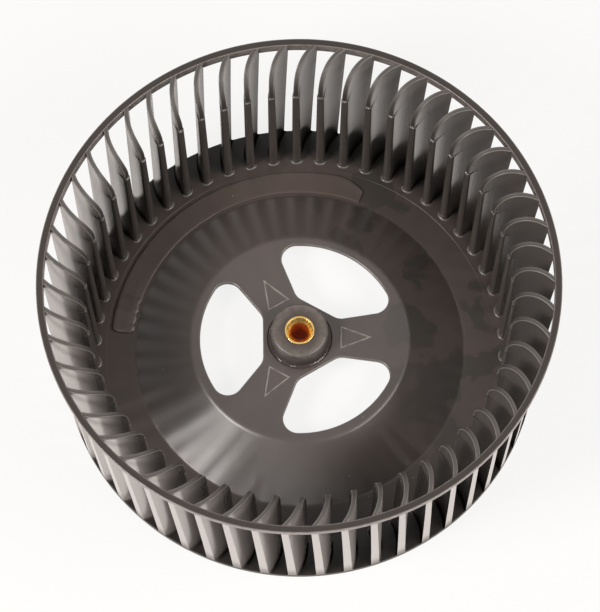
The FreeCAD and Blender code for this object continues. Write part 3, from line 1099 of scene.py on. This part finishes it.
def blade_tail_plastic():
    """The finish of the blades' outer sides and tails: smoother, with more painted light and a soft pale
    sheen.
    """
    finish, clean, painted_light = blade_plastic("blade tail plastic", TAIL_CLEAN_HEIGHT)
    radius = finish.radius()
    outward = finish.fade(radius, 88.0, 98.0, 0.0, 1.0)
    tail = finish.product(outward, finish.spread(finish.turned_outwards(radius), 0.78, 0.92, 0.0, 1.0))
    sheen = finish.fade(radius, 93.0, 103.0, 0.0, 0.9)
    finish.give("Sheen Weight", finish.product(sheen, finish.spread(tail, 0.0, 1.0, 1.0, 0.45)))
    finish.give("Sheen Tint", (1.0, 0.92, 0.88))
    finish.give("Sheen Roughness", 0.4)
    dull = finish.math("MULTIPLY_ADD", tail, -BLADE_DULL, BLADE_DULL)
    finish.give("Coat Roughness", finish.math("ADD", dull, BLADE_COAT_ROUGHNESS))
    coat = finish.product(clean, finish.math("MULTIPLY_ADD", outward, 0.5, 0.5))
    # Painted light on the outer parts of the outward sides
    outer_painted_light = finish.product(outward, finish.fade(radius, 96.0, 107.0, 0.0, 0.6))
    return finish_blade(finish, finish.math("MAXIMUM", painted_light, outer_painted_light), coat, dull)


def turned_brass():
    """Bright turned brass with fine rings, and a painted red-brown reflection colour inside the bore."""
    finish = Finish("turned brass")
    height = finish.axes()["Z"]
    radius = finish.radius()
    rings = finish.noise(finish.together(radius, height, 0.0), 6500.0)
    patches = finish.noise(finish.place, 420.0, 3.0)
    deep = finish.fade(height, BOSS_TOP - 4.5, BOSS_TOP - 1.2, 1.0, 0.0)
    in_bore = finish.product(deep, finish.math("LESS_THAN", radius, 6.3 * MILLIMETRE))
    # Painted reflection colour inside the bore
    colour = finish.blend(in_bore, finish.blend(patches, BRASS_DARK, BRASS_LIGHT), BORE_PAINTED_REFLECTION)
    finish.give("Base Color", colour)
    dull = finish.math("ADD", finish.spread(patches, 0.3, 0.7, 0.16, 0.3), finish.product(in_bore, 0.2))
    finish.give("Roughness", dull)
    finish.give("Metallic", finish.math("MULTIPLY_ADD", in_bore, -0.5, 1.0))
    finish.give("Specular Tint", (1.0, 0.7, 0.4))
    finish.give("Normal", finish.bump(rings, 0.25, 0.00005))
    return finish.material


def floor_white():
    """White floor. Seen straight or in a reflection it is mostly plain white."""
    finish = Finish("floor white")
    finish.nodes.remove(finish.shader)
    matt = finish.node("ShaderNodeBsdfDiffuse", {"Color": FLOOR_COLOUR})
    in_view = finish.node("ShaderNodeLightPath", {}, "Is Camera Ray")
    glow = finish.node("ShaderNodeEmission", {"Color": finish.blend(in_view, FLOOR_IN_GLOSS, FLOOR_IN_VIEW)})
    white = finish.product(seen_white(finish), 0.85)
    mixed = finish.node("ShaderNodeMixShader", {0: white, 1: matt, 2: glow})
    finish.fill(finish.nodes["Material Output"].inputs["Surface"], mixed)
    return finish.material


def seen_white(finish):
    """Share of plain white for each ray. It is low in the shade of the hub and, in gloss, of the disc, and
    in gloss it is painted lower towards the back as the wheel's shadow.
    """
    path = finish.nodes.new("ShaderNodeLightPath").outputs
    radius = finish.radius()
    in_view = finish.math("MAXIMUM", path["Is Camera Ray"], path["Is Transmission Ray"])
    in_view = finish.product(in_view, finish.fade(radius, 7.5, 9.0, 0.0, 1.0))
    past_disc = finish.fade(radius, 90.0, 103.0, 0.1, 1.0)
    # In gloss the floor is painted dimmer towards the back, as the wheel's shadow.
    at_front = finish.fade(finish.axes()["Y"], -60.0, 80.0, 1.0, 0.3)
    in_gloss = finish.product(past_disc, at_front, path["Is Glossy Ray"])
    return finish.math("MAXIMUM", in_view, in_gloss)


# Studio

# Brightness of the air on matt surfaces and in gloss. In view it is white.
AIR_GLOW = 0.04
GLOSS_GLOW = 0.75

# Place and distances in metres, downward pitch, yaw and roll in degrees, lens in millimetres
CAMERA_PLACE = (0.0, -0.5273, 1.5126)
CAMERA_PITCH = 70.09
CAMERA_YAW = 0.03
CAMERA_ROLL = -0.604
CAMERA_LENS = 218.16
LIGHT_DISTANCE = 1.3
LIGHT_ELEVATION = 48.0
LIGHT_HEIGHT = 0.45
LIT_HEIGHT = 0.04
LAMP_COLOUR = (1.0, 0.955, 0.925)
AIR_COLOUR = (1.0, 0.985, 0.97)
FLOOR_HALF = 4.0
FLOOR_DROP = 0.0001


def studio_camera():
    """The camera at the photograph's viewing angle."""
    pitch = math.radians(CAMERA_PITCH)
    roll = math.radians(CAMERA_ROLL)
    ahead = polar(math.cos(pitch), 90 - CAMERA_YAW, -math.sin(pitch))
    level = ahead.cross(Vector((0, 0, 1))).normalized()
    above = level.cross(ahead)
    right = level * math.cos(roll) + above * math.sin(roll)
    up = above * math.cos(roll) - level * math.sin(roll)
    data = bpy.data.cameras.new("studio camera")
    data.sensor_fit = "HORIZONTAL"
    data.lens = CAMERA_LENS
    data.clip_end = 50.0
    camera = in_scene("studio camera", data)
    turn = Matrix((right, up, -ahead)).transposed().to_4x4()
    camera.matrix_world = Matrix.Translation(CAMERA_PLACE) @ turn
    bpy.context.scene.camera = camera


def soft_light(name, azimuth, width, power, roll):
    """A rectangular soft light that looks at the middle of the wheel, rolled about its own line."""
    data = bpy.data.lights.new(name, "AREA")
    data.shape = "RECTANGLE"
    data.size = width
    data.size_y = LIGHT_HEIGHT
    data.energy = power
    data.color = LAMP_COLOUR
    light = in_scene(name, data)
    lift = math.radians(LIGHT_ELEVATION)
    way = polar(math.cos(lift), azimuth, math.sin(lift))
    light.location = way * LIGHT_DISTANCE + Vector((0, 0, LIT_HEIGHT))
    light.rotation_mode = "QUATERNION"
    rolled = Matrix.Rotation(math.radians(roll), 4, way).to_quaternion()
    light.rotation_quaternion = rolled @ (-way).to_track_quat("-Z", "Y")


def studio_air():
    """White round the studio in view and in reflections, and only a little light from it."""
    world = bpy.data.worlds.new("studio air")
    bpy.context.scene.world = world
    world.use_nodes = True
    air = NodeMaker(world.node_tree)
    path = air.nodes.new("ShaderNodeLightPath").outputs
    in_view = air.math("MAXIMUM", path["Is Camera Ray"], path["Is Transmission Ray"])
    seen = air.math("MAXIMUM", in_view, air.product(path["Is Glossy Ray"], GLOSS_GLOW))
    background = air.nodes["Background"].inputs
    air.fill(background["Strength"], air.math("MAXIMUM", seen, AIR_GLOW))
    air.fill(background["Color"], AIR_COLOUR)


def floor_piece():
    """A plain square floor just under the wheel."""
    mesh = bpy.data.meshes.new("floor")
    half = FLOOR_HALF
    corners = [(x, y, -FLOOR_DROP) for x, y in ((-half, -half), (half, -half), (half, half), (-half, half))]
    mesh.from_pydata(corners, [], [(0, 1, 2, 3)])
    mesh.materials.append(floor_white())
    return in_scene("floor", mesh)


def studio():
    """Air, two lights and the floor."""
    studio_air()
    soft_light("front left box", azimuth=209, width=0.42, power=13.5, roll=10)
    soft_light("front right box", azimuth=336, width=0.8, power=10, roll=0)
    floor_piece()
    bpy.context.scene.view_settings.view_transform = "Standard"


# Making the wheel

plastic = satin_plastic()
blade_side = blade_side_plastic()
blade_tail = blade_tail_plastic()
copies = tree_of_copies()

disc = disc_piece(disc_plastic())
ring = ring_piece(plastic)
blades = copies_round_shaft(
    "fan_blades", blade_shape(blade_side), BLADE_COUNT, BLADE_FIRST_ANGLE, 7, copies, blade_side, blade_tail)
ribs = copies_round_shaft("disc_ribs", rib_shape(plastic), RIB_COUNT, 0.0, 3, copies, plastic)
triangles = copies_round_shaft(
    "spoke_triangles", triangle_shape(plastic), OPENING_COUNT, 0.0, 5, copies, plastic)
flash = flash_piece(plastic)
bush = bush_piece(turned_brass())
strip = strip_piece(strip_plastic())

for piece in (disc, ring, blades, ribs, triangles, flash):
    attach(piece, BODY)
    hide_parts("wheel")
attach(bush, BODY)
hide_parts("bush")
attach(strip, BODY)
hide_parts("balance_strip")

studio_camera()
studio()
